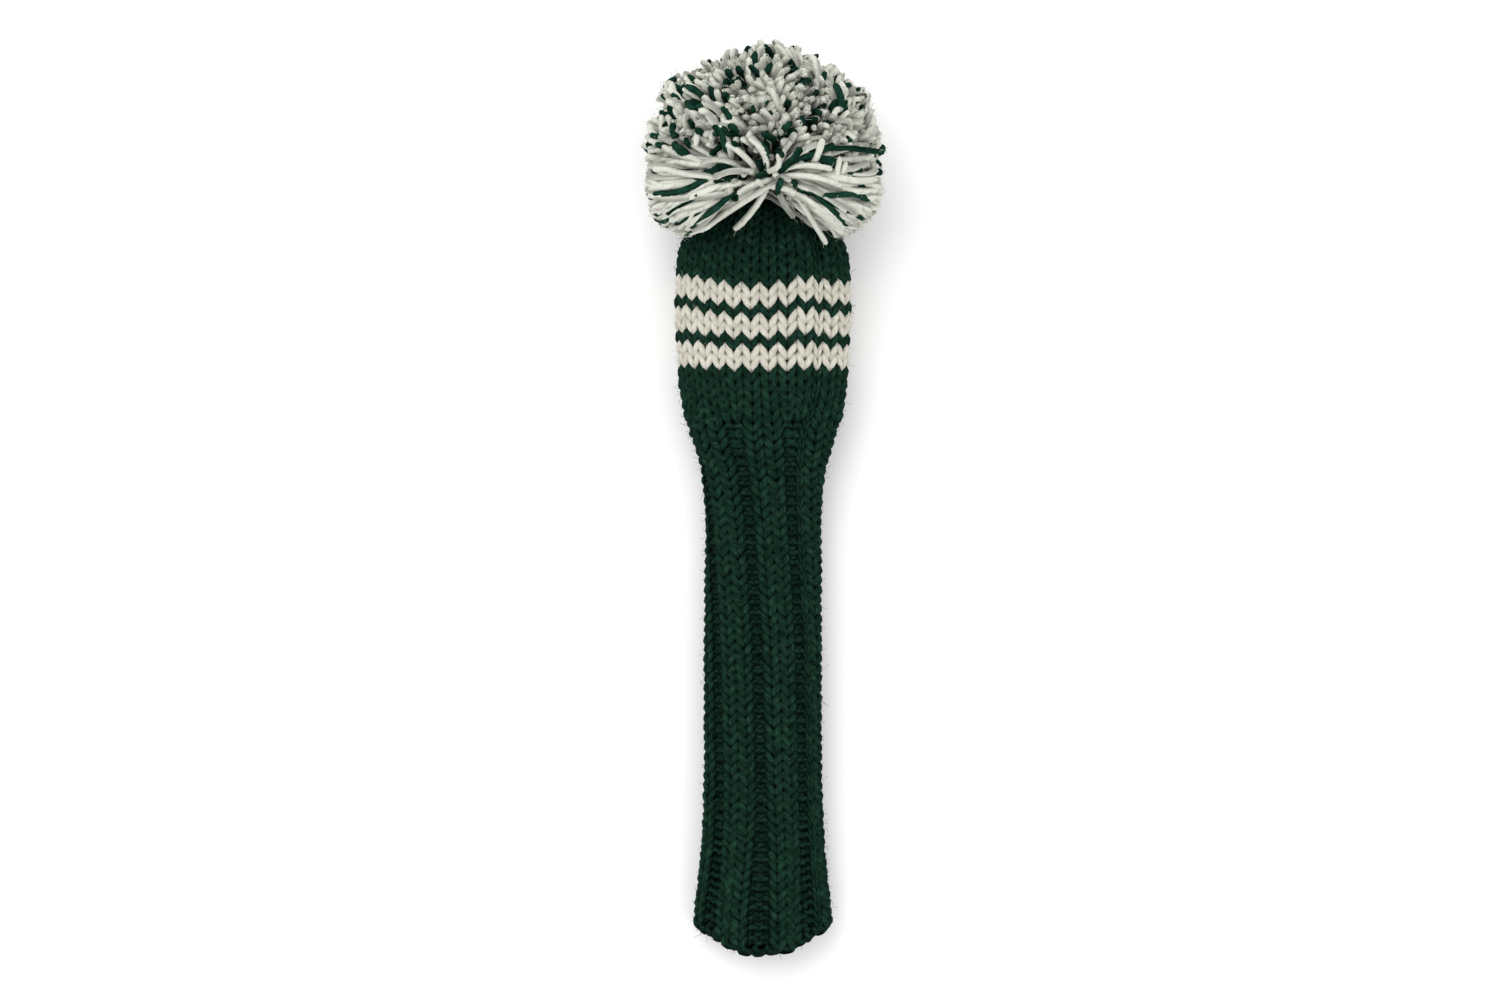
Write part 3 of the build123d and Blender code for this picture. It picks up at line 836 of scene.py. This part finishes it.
def wave(path, t, local, count):
    phase = local.uniform(0, TAU, size=(count, 1, 3))
    beat = local.uniform(0.7, 1.9, size=(count, 1, 3))
    size = local.uniform(0.3, 1.5, size=(count, 1, 1)) * MM
    return path + np.sin(phase + TAU * beat * t) * t * size


def clear_of_crown(points, space):
    """Points pushed out of the crown and up off the floor."""
    x, y, z = points[..., 0], points[..., 1], points[..., 2]
    a = np.interp(y, PROFILE_Y, PROFILE_A) + space
    b = np.interp(y, PROFILE_Y, PROFILE_B) + space
    middle = np.interp(y, PROFILE_Y, PROFILE_Z)
    reach = np.sqrt((x / a) ** 2 + ((z - middle) / b) ** 2) + 1e-9
    inside = (reach < 1) & (y < 0.1515)
    grow = np.where(inside, 1 / np.maximum(reach, 0.25), 1.0)
    x2 = x * grow
    z2 = middle + (z - middle) * grow
    z3 = space + soft_floor(np.where(inside, z2, z) - space, 1.5 * MM)
    return np.stack([np.where(inside, x2, x), y, z3], axis=-1)


def strand_paths(ends, seed):
    local = np.random.default_rng(seed)
    n = len(ends)
    start = WAIST + local.normal(size=(n, 3)) * np.array([5.0, 3.0, 4.0]) * MM
    side = np.sign(ends[:, 0] + local.normal(size=n) * 9 * MM)
    length = np.linalg.norm(ends - start, axis=1, keepdims=True)
    from_ball = (ends - BALL) / BALL_RADII
    from_ball /= np.linalg.norm(from_ball, axis=1, keepdims=True)
    from_waist = (ends - start) / length
    leave = from_waist * 0.75 + np.stack([side, side * 0, side * 0], -1) * 0.55
    leave[:, 1] -= 0.12
    leave /= np.linalg.norm(leave, axis=1, keepdims=True)
    swirl = noise_field(ends, seed + 5, 0.028) * 0.50
    arrive = from_ball * 0.45 + from_waist * 0.55 + local.normal(size=(n, 3)) * 0.30 + swirl
    arrive[:, 2] -= 0.10
    arrive /= np.linalg.norm(arrive, axis=1, keepdims=True)
    t = strand_steps()[None, :, None]
    path = bezier(start, start + leave * length * 0.42, ends - arrive * length * 0.36, ends, t)
    return clear_of_crown(wave(path, t, local, n), 2.0 * MM)


def strand_mesh(name, paths, seed):
    local = np.random.default_rng(seed)
    n, points, _ = paths.shape
    thick = STRAND * local.uniform(0.86, 1.14, size=(n, 1))
    profile = np.interp(strand_steps(), [0, 0.3, 0.87, 0.93, 0.965, 0.988, 1.0],
                        [0.55, 0.95, 1.0, 1.05, 1.0, 0.82, 0.45])
    radius = thick * profile[None, :] * local.uniform(0.93, 1.07, size=(n, points))
    lifts = np.broadcast_to(local.normal(size=(n, 1, 3)), paths.shape)
    # Painted shade: strands get a low height deeper inside the ball, which darkens their colour.
    from_middle = np.linalg.norm((paths - BALL) / BALL_RADII, axis=-1)
    painted_shade_relief = (smooth(0.50, 0.92, from_middle) * 2.6 - 0.2) * MM
    strands = yarn_part(paths, lifts, painted_shade_relief, radius, radius, False, TAU / (8 * MM), 0.11, sides=9)
    outer = paths[:, 5:]
    outward = outer - BALL
    outward /= np.linalg.norm(outward, axis=2, keepdims=True)
    fuzz = fuzz_part(outer, outward, radius[:, 5:], painted_shade_relief[:, 5:], HAIRS_PER_STRAND * n, seed + 1)
    return yarn_mesh(name, strands, fuzz)


def held_in(paths, limit):
    """Paths kept inside the ball's outline."""
    way = (paths - BALL) / BALL_RADII
    far = np.linalg.norm(way, axis=-1, keepdims=True)
    return BALL + way * BALL_RADII * np.minimum(1, limit / far)


# The last numbers are sheen, the floor of the painted shade, and gloss.
pom_green_wool = wool("pom_green_wool", (0.0068, 0.033, 0.0200), (0.017, 0.070, 0.045),
                      (0.0025, 0.013, 0.008), 0.0, 0.35, 0.02)
pom_white_wool = wool("pom_white_wool", (0.620, 0.632, 0.555), (0.72, 0.73, 0.655),
                      (0.47, 0.478, 0.41), 0.1, 0.42)


def settled(paths):
    """The ball as it lies: narrower at its top, and spread wide and low over the crown."""
    x, y, z = paths[..., 0], paths[..., 1], paths[..., 2]
    top = smooth(0.180, 0.226, y)
    low = 1 - smooth(0.140, 0.170, y)
    outer = smooth(0.018, 0.048, np.abs(x))
    wider = x * (1 - 0.05 * top + 0.14 * low)
    lower = y - (1.9 * top + 3.5 * low * outer) * MM
    return clear_of_crown(np.stack([wider, lower, z], axis=-1), 2.0 * MM)


def make_pompom():
    layers = [(1750, 11, 0.935), (1200, 12, 0.88), (600, 13, 0.78)]
    ends = np.concatenate([strand_ends(*layer) for layer in layers])
    loose = np.array(LOOSE_STRANDS + LOOSE_GREENS, float) * MM
    t = strand_steps()[None, :, None]
    loose_paths = clear_of_crown(bezier(loose[:, 0], loose[:, 1], loose[:, 2], loose[:, 3], t), 2.2 * MM)
    balled = settled(held_in(strand_paths(ends, 31), 0.985))
    draped = settled(held_in(draped_paths(420, 32), 1.02))
    paths = np.concatenate([balled, draped, loose_paths])
    tips = paths[:, -1]
    local = np.random.default_rng(77)
    patch = noise_field(tips, 99, 0.020)[:, 0]
    chance = GREEN_SHARE + 0.05 * np.clip(patch, -1, 1.5) - 0.04 * smooth(0.190, 0.215, tips[:, 1])
    chance[len(balled):] = GREEN_DRAPED_SHARE
    chance[-len(loose):] = 0
    chance[-len(LOOSE_GREENS):] = 2
    green = local.uniform(size=len(tips)) < chance
    skirt = tips[:, 1] < SKIRT_TOP
    left = tips[:, 0] < 0
    front = tips[:, 2] >= 0.050
    groups = [
        ("pompom_white_front_left", ~green & ~skirt & front & left, ("pompom_white_strands",)),
        ("pompom_white_front_right", ~green & ~skirt & front & ~left, ()),
        ("pompom_white_back_left", ~green & ~skirt & ~front & left, ()),
        ("pompom_white_back_right", ~green & ~skirt & ~front & ~left, ()),
        ("pompom_green_ball", green & ~skirt, ("pompom_green_strands",)),
        ("pompom_white_skirt_left", ~green & skirt & left, ("pompom_left_skirt_strands",)),
        ("pompom_white_skirt_right", ~green & skirt & ~left, ("pompom_right_skirt_strands",)),
        ("pompom_green_skirt", green & skirt, ()),
    ]
    for number, (label, mask, nodes) in enumerate(groups):
        is_green = "green" in label
        mesh = strand_mesh(label, paths[mask], 41 + 2 * number)
        piece = place(label, mesh, pom_green_wool if is_green else pom_white_wool)
        if "skirt" in label:
            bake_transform(piece)
        else:
            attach(piece, "pompom")
        if nodes:
            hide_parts(*nodes)


make_pompom()
